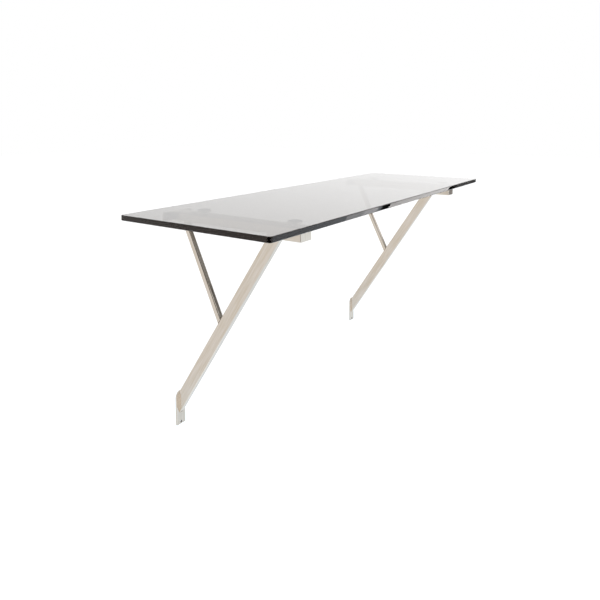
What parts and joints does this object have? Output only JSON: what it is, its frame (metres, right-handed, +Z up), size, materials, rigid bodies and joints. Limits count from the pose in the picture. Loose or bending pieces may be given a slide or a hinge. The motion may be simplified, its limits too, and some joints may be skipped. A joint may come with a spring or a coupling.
{
  "type": "wall-mounted desk",
  "caption": "Wall-mounted desk: a rectangular smoked-glass top that rests on disc-headed posts, carried by Y-shaped wall brackets of polished plated steel tube.",
  "frame": {"origin": "on the wall's face, at the middle of the desk's length, on the line of the upper wall screws", "axes": "+X along the desk to a sitter's right, +Y into the wall, +Z up"},
  "size_m": [1.5, 0.512, 0.6786],
  "materials": {
    "smoked_glass": "smoked grey float glass, polished faces and edges",
    "nickel_plated_steel": "polished and nickel plated",
    "pad_rubber": "smooth neoprene",
    "zinc_plated_steel": "bright zinc plate"
  },
  "bodies": {
    "root": {"glass_top": "smoked_glass", "left_rail": "nickel_plated_steel", "left_rail_end_cap": "nickel_plated_steel", "left_wall_plate": "nickel_plated_steel", "left_strut": "nickel_plated_steel", "left_brace": "nickel_plated_steel", "left_foot_plate": "nickel_plated_steel", "left_rear_support": "nickel_plated_steel", "left_rear_pad": "pad_rubber", "left_rear_insert": "zinc_plated_steel", "left_front_support": "nickel_plated_steel", "left_front_pad": "pad_rubber", "left_front_insert": "zinc_plated_steel", "right_rail": "nickel_plated_steel", "right_rail_end_cap": "nickel_plated_steel", "right_wall_plate": "nickel_plated_steel", "right_strut": "nickel_plated_steel", "right_brace": "nickel_plated_steel", "right_foot_plate": "nickel_plated_steel", "right_rear_support": "nickel_plated_steel", "right_rear_pad": "pad_rubber", "right_rear_insert": "zinc_plated_steel", "right_front_support": "nickel_plated_steel", "right_front_pad": "pad_rubber", "right_front_insert": "zinc_plated_steel"}
  },
  "joints": []
}
